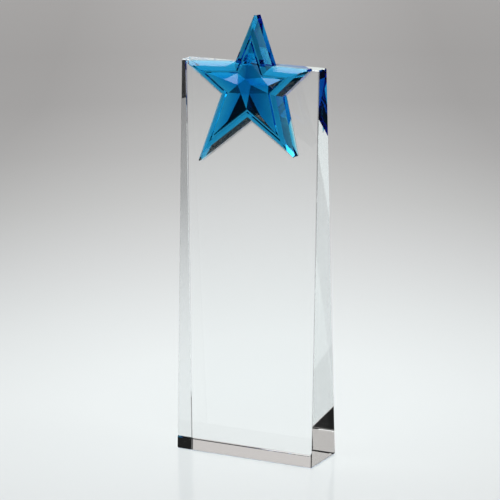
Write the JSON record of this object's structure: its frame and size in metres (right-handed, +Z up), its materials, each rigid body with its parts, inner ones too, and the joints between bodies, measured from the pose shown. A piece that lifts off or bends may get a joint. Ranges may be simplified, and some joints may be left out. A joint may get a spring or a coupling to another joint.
{
  "type": "star trophy",
  "caption": "Clear crystal tower, thick at the foot and thin at the top, with a blue faceted crystal star bonded high on its front face.",
  "frame": {"origin": "middle of the tower's underside, where it rests", "axes": "+Z up through the tower, +X to the right across the face that carries the star, -Y is the way that face looks"},
  "size_m": [0.09, 0.0378, 0.265],
  "materials": {
    "clear_crystal": "polished",
    "blue_crystal": "polished",
    "clear_adhesive": "clear cured film"
  },
  "bodies": {
    "root": {"crystal_tower": "clear_crystal", "blue_star": "blue_crystal", "adhesive_film": "clear_adhesive"}
  },
  "joints": []
}
